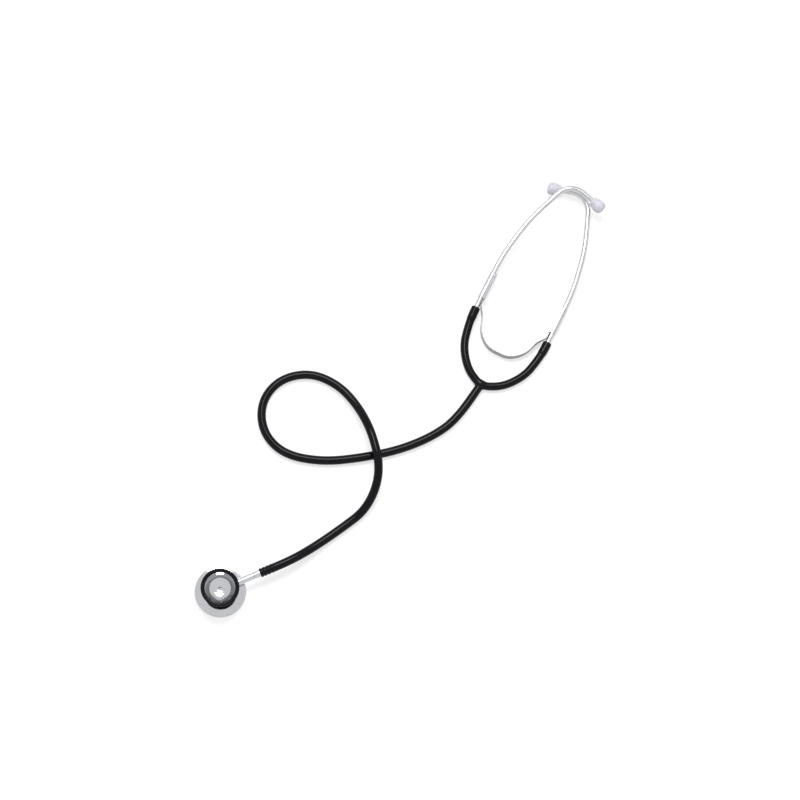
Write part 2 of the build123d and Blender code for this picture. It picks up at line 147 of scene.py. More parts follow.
TONGUE_TAPER = 13.0
CLAMP_START_U = 74
CLAMP_LENGTH = 26
CLAMP_WALL = 0.6
CLAMP_GAP = 0.1

# The ear tubes and their tips, in the headset's frame
EAR_V = 36.2
EAR_TUBE_R = 2.5
EAR_START_U = 55.5
EAR_BEND_U = 118.0
EAR_SHOULDER = (160.0, 29.2)
EAR_HOOK = (209.6, 10.2)
EAR_HEADING = -106.0
EAR_BEND_RUN = 15.0
EAR_SHOULDER_RUN = 19.0
EAR_HOOK_RADIUS = 17.5
FERRULE_IN_TIP = 5.3
TIP_FAR_END = 38.2
TIP_ON_TUBE = 12.0

# Photograph's viewpoint
VIEW_ELEVATION = np.radians(75.0)
VIEW_AZIMUTH = np.radians(-37.0)
VIEW_ROLL = np.radians(14.0)
VIEW_TARGET = np.array((214.817, 99.152, 0.0)) * MM
VIEW_DISTANCE = 2.0
VIEW_LENS = 100.0
VIEW_SENSOR = 36.0

# Softbox: its angle from the camera's line, towards the top of the picture, and its metres
SOFTBOX_TILT = 40.0
SOFTBOX_AWAY = 1.6
SOFTBOX_SIDE = 0.68

# Table top: half its side in metres, and the glow that brings it to white for the camera
TABLE_HALF = 4.0
TABLE_GLOW = 0.56


def linear(code):
    """Linear colour of an sRGB hex value."""
    parts = np.array([int(code[i:i + 2], 16) for i in (1, 3, 5)]) / 255
    low = parts / 12.92
    high = ((parts + 0.055) / 1.055) ** 2.4
    return tuple(np.where(parts <= 0.04045, low, high))


def length_property(name, millimetres, about):
    """A size that a user may set, kept in metres."""
    return FloatProperty(
        name=name, description=about, default=millimetres * MM, min=0.0, unit="LENGTH", precision=5
    )


def colour_property(name, code, about):
    """A colour that a user may set."""
    return FloatVectorProperty(
        name=name, description=about, default=linear(code), size=3, min=0, max=1, subtype="COLOR"
    )


class ChestpieceSettings(bpy.types.PropertyGroup):
    """Sizes and colours of the chestpiece and the stem."""

    ring_width: length_property("Ring width", 45.0, "Outer diameter of the screw ring")
    bell_width: length_property("Bell width", 26.4, "Inner diameter of the bell's mouth")
    neck_width: length_property("Neck width", 13.0, "Diameter of the neck between drum and bell")
    chrome: colour_property("Chrome", "#C4C5C8", "Colour of the plated metal")
    rim: colour_property("Rim", "#0A080C", "Colour of the bell's rubber rim")


class TubingSettings(bpy.types.PropertyGroup):
    """Sizes and colours of the moulded tubing."""

    tube_width: length_property("Tube width", 7.8, "Diameter of the main tube")
    arm_width: length_property("Arm width", 7.4, "Diameter of the two arms")
    crotch_blend: length_property("Crotch blend", 2.2, "How softly the legs of the Y run together")
    vinyl: colour_property("Vinyl", "#08060C", "Colour of the tubing")


class HeadsetSettings(bpy.types.PropertyGroup):
    """Sizes and colours of the ear tubes, the spring and the tips."""

    ear_tube_width: length_property("Ear tube width", 5.0, "Diameter of the bent ear tubes")
    strip_thickness: length_property("Spring thickness", 0.8, "Thickness of the leaf spring")
    tip_width: length_property("Tip width", 11.8, "Widest diameter of an ear tip")
    spring: colour_property("Spring", "#8C8B8A", "Colour of the spring steel")
    tip: colour_property("Ear tip", "#EAE8F2", "Colour of the frosted tips")


class StageSettings(bpy.types.PropertyGroup):
    """Levels of the studio's light."""

    fill: FloatProperty(name="Fill", description="Level of the room's light", default=0.62, min=0)
    key: FloatProperty(name="Key", description="Power of the softbox", default=14.0, min=0, unit="POWER")
    floor: colour_property("Floor", "#CDCDCD", "Colour of the table")


# Shapes worked out on grids


def unit(vectors):
    """Vectors brought to length one."""
    return vectors / np.linalg.norm(vectors, axis=-1, keepdims=True)


def rounded(corners, radii, steps=8):
    """Straight runs joined by tangent arcs: at each inner corner the arc's centre lies on the
    bisector, radius / sin(half angle) away, and its points turn evenly from one run to the other."""
    points = [np.array(corner, float) for corner in corners]
    share = np.linspace(0, 1, steps + 1)[:, None]
    pieces = [points[0][None]]
    for before, here, after, radius in zip(points, points[1:], points[2:], radii):
        back, ahead = unit(before - here), unit(after - here)
        half = np.arccos(np.clip(back @ ahead, -1, 1)) / 2
        centre = here + unit(back + ahead) * radius / np.sin(half)
        first = here + back * radius / np.tan(half) - centre
        last = here + ahead * radius / np.tan(half) - centre
        turn = np.pi - 2 * half
        arc = np.sin((1 - share) * turn) * first + np.sin(share * turn) * last
        pieces.append(centre + arc / np.sin(turn))
    pieces.append(points[-1][None])
    return np.concatenate(pieces)


def eased(share):
    """Smooth step 3 s^2 - 2 s^3 of a share from 0 to 1."""
    return share**2 * (3 - 2 * share)


def edge_drop(share):
    """Fall of a quarter circle, 1 - sqrt(1 - s^2), from nothing at 0 to its radius at 1."""
    return 1 - np.sqrt(1 - share**2)


def arc_line(centre, radius, start, end, steps=16):
    """Arc in a plane: centre + radius (cos a, sin a) for a from start to end in degrees."""
    turn = np.radians(np.linspace(start, end, steps))
    return np.array(centre) + radius * np.stack([np.cos(turn), np.sin(turn)], axis=1)


def soft_line(points, steps=14):
    """Quadratic B-spline with clamped ends: between the middles of its runs each corner is the
    curve (1 - t)^2 a + 2 t (1 - t) b + t^2 c, where b is the corner."""
    points = np.array(points, float)
    middles = (points[:-1] + points[1:]) / 2
    starts = np.concatenate([points[:1], middles[1:-1]])
    ends = np.concatenate([middles[1:-1], points[-1:]])
    t = np.linspace(0, 1, steps, endpoint=False)[None, :, None]
    line = (1 - t) ** 2 * starts[:, None] + 2 * t * (1 - t) * points[1:-1][:, None]
    line = line + t**2 * ends[:, None]
    return np.concatenate([line.reshape(-1, points.shape[1]), points[-1:]])


def lengths_along(line):
    """Distance of each point from the line's start: the sum of the runs before it."""
    return np.concatenate([[0], np.cumsum(np.linalg.norm(np.diff(line, axis=0), axis=1))])


def spaced(line, step):
    """The same line with points about one step apart: each new point lies on the old runs."""
    along = lengths_along(line)
    count = max(2, int(round(along[-1] / step)) + 1)
    wanted = np.linspace(0, along[-1], count)
    return np.stack([np.interp(wanted, along, axis) for axis in line.T], axis=1)


def in_headset(points, side=None):
    """Millimetres (u, v, height) of the headset's frame as places in metres. With a side, v points
    outwards on that side, and what lies beyond the pitch line is turned up by the side's pitch."""
    u, v, height = np.array(points, float).T
    if side is not None:
        v = v * SIDE[side]
        turn = np.where(u > PITCH_LINE_U, PITCH[side], 0)
        out, up = u - PITCH_LINE_U, height - LIE
        u = PITCH_LINE_U + out * np.cos(turn) - up * np.sin(turn)
        height = LIE + out * np.sin(turn) + up * np.cos(turn)
    places = np.outer(u, ALONG_U) + np.outer(v, ALONG_V) + np.outer(height, RISE)
    return places * MM + np.append(HEADSET_AT, 0)


def turned_grid(profile, at, axis, sides=96):
    """Surface of revolution: ring i is at + axis h(i) + r(i) (cos a X + sin a Y)."""
    axis = unit(np.array(axis, float))
    guide = AHEAD if abs(axis @ AHEAD) < 0.9 else RISE
    across = unit(np.cross(axis, guide))
    other = np.cross(axis, across)
    turn = np.linspace(0, 2 * np.pi, sides, endpoint=False)
    circle = np.outer(np.cos(turn), across) + np.outer(np.sin(turn), other)
    radius, height = np.array(profile, float).T
    return np.array(at) + height[:, None, None] * axis + radius[:, None, None] * circle


def carried_grid(path, section):
    """A closed outline (across, up) carried along a path: its two axes are level across the path
    and square to both. A section with a third axis of stations changes along the way."""
    ahead = unit(np.gradient(path, axis=0))
    across = unit(np.cross(RISE, ahead))
    up = np.cross(ahead, across)
    section = np.broadcast_to(section, (len(path), *np.shape(section)[-2:]))
    return path[:, None] + section[:, :, :1] * across[:, None] + section[:, :, 1:] * up[:, None]


def round_section(radii, sides=40):
    """Circles as outlines, one for each radius."""
    turn = np.linspace(0, 2 * np.pi, sides, endpoint=False)
    circle = np.stack([np.cos(turn), np.sin(turn)], axis=1)
    return np.reshape(radii, (-1, 1, 1)) * circle


def grid_faces(rows, columns, ring):
    """Corner numbers of the squares of a grid that is closed round its columns, and with ring
    round its rows too."""
    row = np.arange(rows if ring else rows - 1)[:, None]
    column = np.arange(columns)[None]
    after, beside = (row + 1) % rows, (column + 1) % columns
    here, next_row = row * columns, after * columns
    corners = [here + column, here + beside, next_row + beside, next_row + column]
    return np.stack([np.broadcast_to(c, (len(row), columns)) for c in corners], -1).reshape(-1, 4)


def skin(grids, ring=False):
    """Vertices and faces of grids in one mesh. Unless it is a ring, each grid's two ends are closed
    by a fan round their middle point."""
    vertices, faces, count = [], [], 0
    for grid in grids:
        rows, columns = grid.shape[:2]
        first = count
        vertices.append(grid.reshape(-1, 3))
        faces.extend((grid_faces(rows, columns, ring) + first).tolist())
        count += rows * columns
        if ring:
            continue
        column = np.arange(columns)
        edges = np.stack([column, np.roll(column, -1)], axis=1)
        for row, turn in ((0, -1), (rows - 1, 1)):
            vertices.append(grid[row].mean(axis=0)[None])
            edge = edges[:, ::turn] + first + row * columns
            faces.extend(np.column_stack([edge, np.full(columns, count)]).tolist())
            count += 1
    return np.concatenate(vertices), faces


def turned_loop(corners, radii, at, axis, sides):
    """Surface turned from a closed loop of rounded corners, of which the last is also the first."""
    profile = rounded(corners, radii)[:-1]
    return skin([turned_grid(profile * MM, at, axis, sides)], ring=True)


def places_of(mesh):
    """Places of a mesh's vertices, one row for each."""
    flat = np.empty(len(mesh.vertices) * 3)
    mesh.vertices.foreach_get("co", flat)
    return flat.reshape(-1, 3)


def make_piece(name, vertices, faces, finish, slot, crease=34.0):
    """Object of a closed surface, its faces outwards and smooth but for edges sharper than crease."""
    mesh = bpy.data.meshes.new(name)
    mesh.from_pydata(vertices.tolist(), [], faces)
    mesh.materials.append(material_of(finish))
    form = bmesh.new()
    form.from_mesh(mesh)
    bmesh.ops.remove_doubles(form, verts=form.verts, dist=1e-7)
    bmesh.ops.dissolve_degenerate(form, edges=form.edges, dist=1e-8)
    bmesh.ops.recalc_face_normals(form, faces=form.faces)
    form.to_mesh(mesh)
    form.free()
    mesh.shade_smooth()
    mesh.set_sharp_from_angle(angle=np.radians(crease))
    piece = bpy.data.objects.new(name, mesh)
    bpy.context.scene.collection.objects.link(piece)
    return piece


# Materials


def add_node(tree, kind, inputs=None, **settings):
    """Adds a node. Settings are its properties. Each input takes another node's output or a plain
    value."""
    node = tree.nodes.new(kind)
    for name, value in settings.items():
        setattr(node, name, value)
    for name, value in (inputs or {}).items():
        if isinstance(value, bpy.types.NodeSocket):
            tree.links.new(value, node.inputs[name])
        else:
            node.inputs[name].default_value = value
    return node


def new_material(name):
    """A material with an empty tree, and the place on the object that its patterns read."""
    material = bpy.data.materials.new(name)
    material.use_nodes = True
    tree = material.node_tree
    tree.nodes.clear()
    return material, tree, add_node(tree, "ShaderNodeTexCoord").outputs["Object"]


def finished(material, inputs, height=None, depth=0.0):
    """The material with its shader. A height pattern gives it bumps of a depth in millimetres."""
    tree = material.node_tree
    if height is not None:
        relief = {"Height": height, "Strength": 1.0, "Distance": depth * MM}
        inputs["Normal"] = add_node(tree, "ShaderNodeBump", relief).outputs["Normal"]
    shader = add_node(tree, "ShaderNodeBsdfPrincipled", inputs)
    surface = {"Surface": shader.outputs["BSDF"]}
    add_node(tree, "ShaderNodeOutputMaterial", surface, is_active_output=True)
    return material


def grain(tree, place, millimetres, detail=3.0, stretch=None):
    """Noise whose features are about so many millimetres wide, finer along the axes that stretch
    makes larger."""
    if stretch is not None:
        place = add_node(tree, "ShaderNodeMapping", {"Vector": place, "Scale": stretch}).outputs[0]
    size = {"Vector": place, "Scale": 1 / (millimetres * MM), "Detail": detail, "Roughness": 0.5}
    return add_node(tree, "ShaderNodeTexNoise", size).outputs["Fac"]


def wander(tree, pattern, first, second, low=0.35, high=0.65):
    """Value or colour that goes from the first to the second as a pattern goes from low to high,
    which for noise is the middle of its range."""
    ends = (0, 1) if np.ndim(first) else (first, second)
    spread = {"Value": pattern, "From Min": low, "From Max": high, "To Min": ends[0], "To Max": ends[1]}
    share = add_node(tree, "ShaderNodeMapRange", spread).outputs["Result"]
    if not np.ndim(first):
        return share
    mix = add_node(tree, "ShaderNodeMix", {"Factor": share}, data_type="RGBA")
    colours = [socket for socket in mix.inputs if socket.type == "RGBA"]
    colours[0].default_value = (*first, 1)
    colours[1].default_value = (*second, 1)
    return [socket for socket in mix.outputs if socket.type == "RGBA"][0]


def scaled(colour, factor):
    """The same colour, lighter or darker."""
    return tuple(min(1.0, part * factor) for part in colour)


def black_vinyl(colour):
    """Plasticised PVC, dip moulded: deep black and glossy, with the faint orange peel of the
    mould and a film of handling that dulls it in patches."""
    material, tree, place = new_material("black_vinyl")
    film = grain(tree, place, 9.0)
    surface = {
        "Base Color": wander(tree, film, colour, scaled(colour, 1.7)),
        "Roughness": wander(tree, film, 0.1, 0.17),
        "IOR": 1.53,
        # Below the full level, to match the photograph's deep black in a white room
        "Specular IOR Level": 0.12,
    }
    # Real orange peel is about 0.5 mm wide, drawn at 1.6 mm so that it shows
    peel = grain(tree, place, 1.6, detail=2.0)
    return finished(material, surface, peel, 0.012)


def rim_rubber(colour):
    """Moulded nitrile rubber of the non-chill rim: black, a little matt, with a fine bloom."""
    material, tree, place = new_material("rim_rubber")
    bloom = grain(tree, place, 4.0)
    surface = {
        "Base Color": wander(tree, bloom, colour, scaled(colour, 1.8)),
        "Roughness": wander(tree, bloom, 0.26, 0.4),
        "IOR": 1.52,
        "Specular IOR Level": 0.1,
    }
    return finished(material, surface, grain(tree, place, 0.7, detail=2.0), 0.01)


def polished_chrome(name, colour, stretch):
    """Bright nickel-chrome plate over buffed brass: a mirror, with fine buffing lines along the
    way that it was polished and a faint haze where it is handled."""
    material, tree, place = new_material(name)
    haze = grain(tree, place, 12.0)
    # Buffing lines are a few microns wide, drawn at 0.5 mm so that they show
    lines = grain(tree, place, 0.5, detail=4.0, stretch=stretch)
    both = add_node(tree, "ShaderNodeMath", {0: haze, 1: lines}, operation="MULTIPLY").outputs[0]
    surface = {
        "Base Color": wander(tree, haze, colour, scaled(colour, 0.93)),
        "Roughness": wander(tree, both, 0.03, 0.09, 0.15, 0.4),
        "Metallic": 1.0,
    }
    return finished(material, surface, lines, 0.0005)


def spring_steel(colour):
    """Rolled and tempered strip steel: grey and satin, with the grain of its rolling."""
    material, tree, place = new_material("spring_steel")
    rolled = grain(tree, place, 1.2, detail=4.0, stretch=(0.25, 0.25, 3.0))
    surface = {
        "Base Color": wander(tree, rolled, scaled(colour, 0.8), scaled(colour, 1.15)),
        "Roughness": wander(tree, rolled, 0.26, 0.42),
        "Metallic": 1.0,
    }
    return finished(material, surface, rolled, 0.008)


def frosted_vinyl(colour):
    """Soft translucent PVC of the ear tips: milky, bluish white, with a fine frosted skin."""
    material, tree, place = new_material("frosted_vinyl")
    cloud = grain(tree, place, 3.5)
    surface = {
        "Base Color": wander(tree, cloud, colour, scaled(colour, 0.93)),
        "Roughness": wander(tree, cloud, 0.42, 0.58),
        "IOR": 1.5,
        "Transmission Weight": 0.25,
        "Subsurface Weight": 0.35,
        "Subsurface Radius": (1.0, 0.9, 1.0),
        "Subsurface Scale": 2.0 * MM,
    }
    return finished(material, surface, grain(tree, place, 0.6, detail=2.0), 0.02)


def turned_brass():
    """Drawn and turned brass of the threaded ends, nickel flashed: warm grey with tool marks."""
    material, tree, place = new_material("turned_brass")
    marks = grain(tree, place, 0.8)
    surface = {
        "Base Color": wander(tree, marks, linear("#C9B58A"), linear("#B7A075")),
        "Roughness": wander(tree, marks, 0.2, 0.32),
        "Metallic": 1.0,
    }
    return finished(material, surface)


def diaphragm_resin():
    """Glass-filled epoxy sheet of the diaphragm: a stiff ivory disc with a faint weave, drawn with
    threads 3 mm apart so that it shows."""
    material, tree, place = new_material("diaphragm_resin")
    threads = {"Vector": place, "Scale": 1 / (3.0 * MM), "Distortion": 0.4}
    along = add_node(tree, "ShaderNodeTexWave", threads).outputs["Fac"]
    across = add_node(tree, "ShaderNodeTexWave", threads, bands_direction="Y").outputs["Fac"]
    weave = add_node(tree, "ShaderNodeMath", {0: along, 1: across}, operation="MULTIPLY").outputs[0]
    surface = {
        "Base Color": wander(tree, weave, linear("#D8D2BE"), linear("#C9C2AC"), 0, 1),
        "Roughness": wander(tree, weave, 0.22, 0.34, 0, 1),
        "IOR": 1.55,
    }
    return finished(material, surface, weave, 0.01)


def seal_rubber():
    """Nitrile O-ring rubber: black and slightly greased."""
    material, tree, place = new_material("seal_rubber")
    grease = grain(tree, place, 0.9)
    surface = {
        "Base Color": wander(tree, grease, linear("#161517"), linear("#232124")),
        "Roughness": wander(tree, grease, 0.18, 0.36),
        "IOR": 1.52,
    }
    return finished(material, surface)


MATERIALS = {}


def material_of(name):
    """The finish of that name, made when it is first asked for from the panel's colours."""
    if name not in MATERIALS:
        scene = bpy.context.scene
        chrome = tuple(scene.chestpiece_look.chrome)
        makers = {
            "black_vinyl": lambda: black_vinyl(tuple(scene.tubing_look.vinyl)),
            "rim_rubber": lambda: rim_rubber(tuple(scene.chestpiece_look.rim)),
            "turned_chrome": lambda: polished_chrome("turned_chrome", chrome, (0.5, 0.5, 6.0)),
            "drawn_chrome": lambda: polished_chrome("drawn_chrome", chrome, (0.4, 0.4, 3.0)),
            "spring_steel": lambda: spring_steel(tuple(scene.headset_look.spring)),
            "frosted_vinyl": lambda: frosted_vinyl(tuple(scene.headset_look.tip)),
            "turned_brass": turned_brass,
            "diaphragm_resin": diaphragm_resin,
            "seal_rubber": seal_rubber,
        }
        MATERIALS[name] = makers[name]()
    return MATERIALS[name]


class STETHOSCOPE_OT_tube(bpy.types.Operator):
    """Main tube: one smooth curve from the cuff, through the loop, to the Y"""

    bl_idname = "stethoscope.tube"
    bl_label = "Main tube"

    def execute(self, context):
        width = context.scene.tubing_look.tube_width
        curve = bpy.data.curves.new("tube_line", "CURVE")
        curve.dimensions = "3D"
        spline = curve.splines.new("NURBS")
        spline.points.add(len(TUBE_ROUTE) - 1)
        points = np.column_stack([np.array(TUBE_ROUTE, float) * MM, np.ones(len(TUBE_ROUTE))])
        spline.points.foreach_set("co", points.ravel())
        spline.order_u = 3
        spline.use_endpoint_u = True
        curve.resolution_u = 24
        curve.bevel_depth = width / 2
        curve.bevel_resolution = 8
        curve.use_fill_caps = True
        curve.materials.append(material_of("black_vinyl"))
        tube = bpy.data.objects.new("tube_line", curve)
        context.scene.collection.objects.link(tube)
        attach(tube, "tubing")
        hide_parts("main_tube")
        return {"FINISHED"}


class STETHOSCOPE_OT_chestpiece(bpy.types.Operator):
    """Turned and plated body: drum, neck, bell cup and the boss that the stem enters"""

    bl_idname = "stethoscope.chestpiece"
    bl_label = "Chestpiece body"

    def execute(self, context):
        look = context.scene.chestpiece_look
        ring_r = look.ring_width / 2 / MM
        mouth_r = look.bell_width / 2 / MM
        neck_r = look.neck_width / 2 / MM
        lip_r = mouth_r + LIP_WALL
        drum_r = ring_r - DRUM_INSET
        thread_r = drum_r - 0.65
        shelf_r = ring_r - RING_SHELF
        # From the port up through the cup, over its lip, down the neck and the drum to the ring's
        # thread, and under the shallow cone over the diaphragm
        corners = [
            (PORT_R, 3.3),
            (PORT_R, 13.2),
            (1.75, 13.2),
            (1.75, 17.52),
            (6.2, 17.9),
            (9.4, 19.3),
            (mouth_r, MOUTH_HEIGHT),
            (lip_r, MOUTH_HEIGHT),
            (lip_r, 21.6),
            (neck_r, 14.6),
            (neck_r, 8.05),
            (drum_r, 7.5),
            (drum_r, RING_TOP),
            (thread_r, RING_TOP),
            (thread_r, 1.05),
            (shelf_r, 1.05),
            (shelf_r, 1.45),
            (PORT_R, 3.3),
        ]
        radii = [0.05, 0.05, 0.25, 8.0, 2.5, 0.12, 0.3, 1.5, 1.5, 2.1, 0.6, 0.1, 0.1, 0.1, 0.1, 0.1]
        turned = turned_loop(corners, radii, (0, 0, 0), RISE, 160)
        body = make_piece("chestpiece", *turned, "turned_chrome", "chrome")
        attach(body, "head")
        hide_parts("chestpiece_body")

        corners = [
            (STEM_BORE_R, BOSS_START),
            (STEM_BORE_R, BOSS_END),
            (BOSS_R, BOSS_END),
            (BOSS_R, BOSS_START),
            (STEM_BORE_R, BOSS_START),
        ]
        turned = turned_loop(corners, [0.25, 0.6, 0.2], AXIS_HEIGHT * RISE, AHEAD, 80)
        piece = make_piece("stem_boss", *turned, "turned_chrome", "chrome")
        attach(piece, "head")

        # The web's outline, as rise over the drum and place across, drawn in at its end
        tall = 5.6
        half = 3.2
        foot = 7.4
        corners = [(0, 2.6), (0, half), (tall, half), (tall, -half), (0, -half), (0, 2.6)]
        outline = rounded(corners, [0.3, 0.8, 0.8, 0.3], steps=5)[:-1]
        rings = []
        for x, inset in ((1.0, 0.0), (14.0, 0.0), (14.35, 0.15), (14.5, 0.5)):
            across = np.sign(outline[:, 1]) * (np.abs(outline[:, 1]) - inset)
            rings.append(np.column_stack([np.full(len(across), x), across, foot + outline[:, 0]]))
        web = make_piece("boss_web", *skin([np.array(rings) * MM]), "turned_chrome", "chrome")
        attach(web, "head")
        return {"FINISHED"}


class STETHOSCOPE_OT_rim(bpy.types.Operator):
    """Non-chill rim: two rubber rolls with a groove between, lapped over the bell's lip"""

    bl_idname = "stethoscope.rim"
    bl_label = "Bell rim"

    def execute(self, context):
        mouth_r = context.scene.chestpiece_look.bell_width / 2 / MM
        lip_r = mouth_r + LIP_WALL
        lap = 0.03
        top = MOUTH_HEIGHT + lap
        inner_r = mouth_r + 0.02
        # Along the lip's outside and top, over the edge, and round the two rolls
        profile = np.concatenate(
            [
                [(lip_r + lap, 21.2), (lip_r + lap, top), (inner_r, top)],
                rounded([(inner_r, 25.0), (mouth_r + 0.1, 25.5), (lip_r + 0.3, 25.84)], [0.3]),
                arc_line((lip_r + 0.95, 24.4), 1.5, 100, -35, 18),
                arc_line((lip_r + 0.9, 22.25), 1.3, 30, -75, 14),
            ]
        )
        turned = skin([turned_grid(profile * MM, (0, 0, 0), RISE, sides=160)], ring=True)
        rim = make_piece("bell_rim_rolls", *turned, "rim_rubber", "rim_rubber", 50)
        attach(rim, "head")
        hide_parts("bell_rim")
        return {"FINISHED"}


class STETHOSCOPE_OT_ring(bpy.types.Operator):
    """Screw ring of the diaphragm, with rounded outer corners and a bead at its upper edge"""

    bl_idname = "stethoscope.ring"
    bl_label = "Retaining ring"

    def execute(self, context):
        ring_r = context.scene.chestpiece_look.ring_width / 2 / MM
        hole_r = ring_r - RING_SHELF
        wall_r = ring_r - RING_WALL
        bead_r = ring_r - 0.05
        thick = 0.8
        corners = [
            (hole_r, thick / 2),
            (hole_r, 0.0),
            (ring_r, 0.0),
            (ring_r, 3.15),
            (ring_r - 0.22, 3.3),
            (bead_r, 3.45),
            (bead_r, RING_TOP),
            (wall_r, RING_TOP),
            (wall_r, thick),
            (hole_r, thick),
            (hole_r, thick / 2),
        ]
        radii = [0.15, 0.55, 0.1, 0.08, 0.08, 0.25, 0.15, 0.1, 0.15]
        turned = turned_loop(corners, radii, (0, 0, 0), RISE, 160)
        ring = make_piece("screw_ring", *turned, "turned_chrome", "chrome")
        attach(ring, "head")
        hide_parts("retaining_ring")
        return {"FINISHED"}


class STETHOSCOPE_OT_stem(bpy.types.Operator):
    """Stem: plated spindle with its bevelled collar, and a plain tail under the cuff"""

    bl_idname = "stethoscope.stem"
    bl_label = "Stem"

    def execute(self, context):
        start = -5.7
        end = 50.5
        neck_r = 2.75
        collar_r = 3.2
        corners = [
            (DUCT_R, start),
            (SPINDLE_R, start),
            (SPINDLE_R, 31.3),
            (neck_r, 31.6),
            (neck_r, 32.0),
            (collar_r, 32.0),
            (collar_r, 37.45),
            (TAIL_R, 37.45),
            (TAIL_R, end),
            (DUCT_R, end),
            (DUCT_R, start),
        ]
        radii = [0.2, 0.15, 0.08, 0.05, 0.2, 0.25, 0.1, 0.3, 0.1]
        turned = turned_loop(corners, radii, AXIS_HEIGHT * RISE, AHEAD, 64)
        stem = make_piece("stem_spindle", *turned, "drawn_chrome", "chrome")
        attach(stem, "tubing")
        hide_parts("stem")
        return {"FINISHED"}


class STETHOSCOPE_OT_cuff(bpy.types.Operator):
    """Ribbed tube end: four rounded ribs, between which it sinks in a soft wave"""

    bl_idname = "stethoscope.cuff"
    bl_label = "Tube end cuff"

    def execute(self, context):
        tube_r = context.scene.tubing_look.tube_width / 2 / MM
        # Each rib is a crest of a raised cosine, squared off by tanh. The last tenth settles to the
        # tube's radius, and a quarter circle rolls the first edge in.
        along = np.linspace(0, 1, 121)
        wave = 0.5 + 0.5 * np.cos(2 * np.pi * (CUFF_RIBS * along - 0.3))
        ribs = tube_r - 0.05 + CUFF_RIB_HEIGHT * np.tanh(3 * (wave - 0.35))
        settle = np.clip((along - 0.9) / 0.1, 0, 1)
        radius = ribs * (1 - settle) + tube_r * settle
        radius = radius - CUFF_EDGE * edge_drop(1 - np.clip(along / 0.03, 0, 1))
        outside = np.column_stack([radius, CUFF_START + along * (CUFF_END - CUFF_START)])
        inside = [(TAIL_R, CUFF_END), (TAIL_R, CUFF_START + 1.0)]
        profile = np.concatenate([[(3.25, CUFF_START)], outside, inside])
        grid = turned_grid(profile * MM, AXIS_HEIGHT * RISE, AHEAD, sides=64)
        cuff = make_piece("ribbed_cuff", *skin([grid], ring=True), "black_vinyl", "black_pvc", 50)
        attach(cuff, "tubing")
        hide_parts("tube_end_cuff")
        return {"FINISHED"}


def line_distance(points, line):
    """Distance of each point from a line of runs: the nearest of its distances to the runs, where
    each is measured to the run's closest point."""
    starts, runs = line[:-1], np.diff(line, axis=0)
    offsets = points[:, None] - starts[None]
    share = np.clip((offsets * runs).sum(-1) / (runs**2).sum(-1), 0, 1)
    return np.linalg.norm(offsets - share[..., None] * runs, axis=-1).min(axis=1)


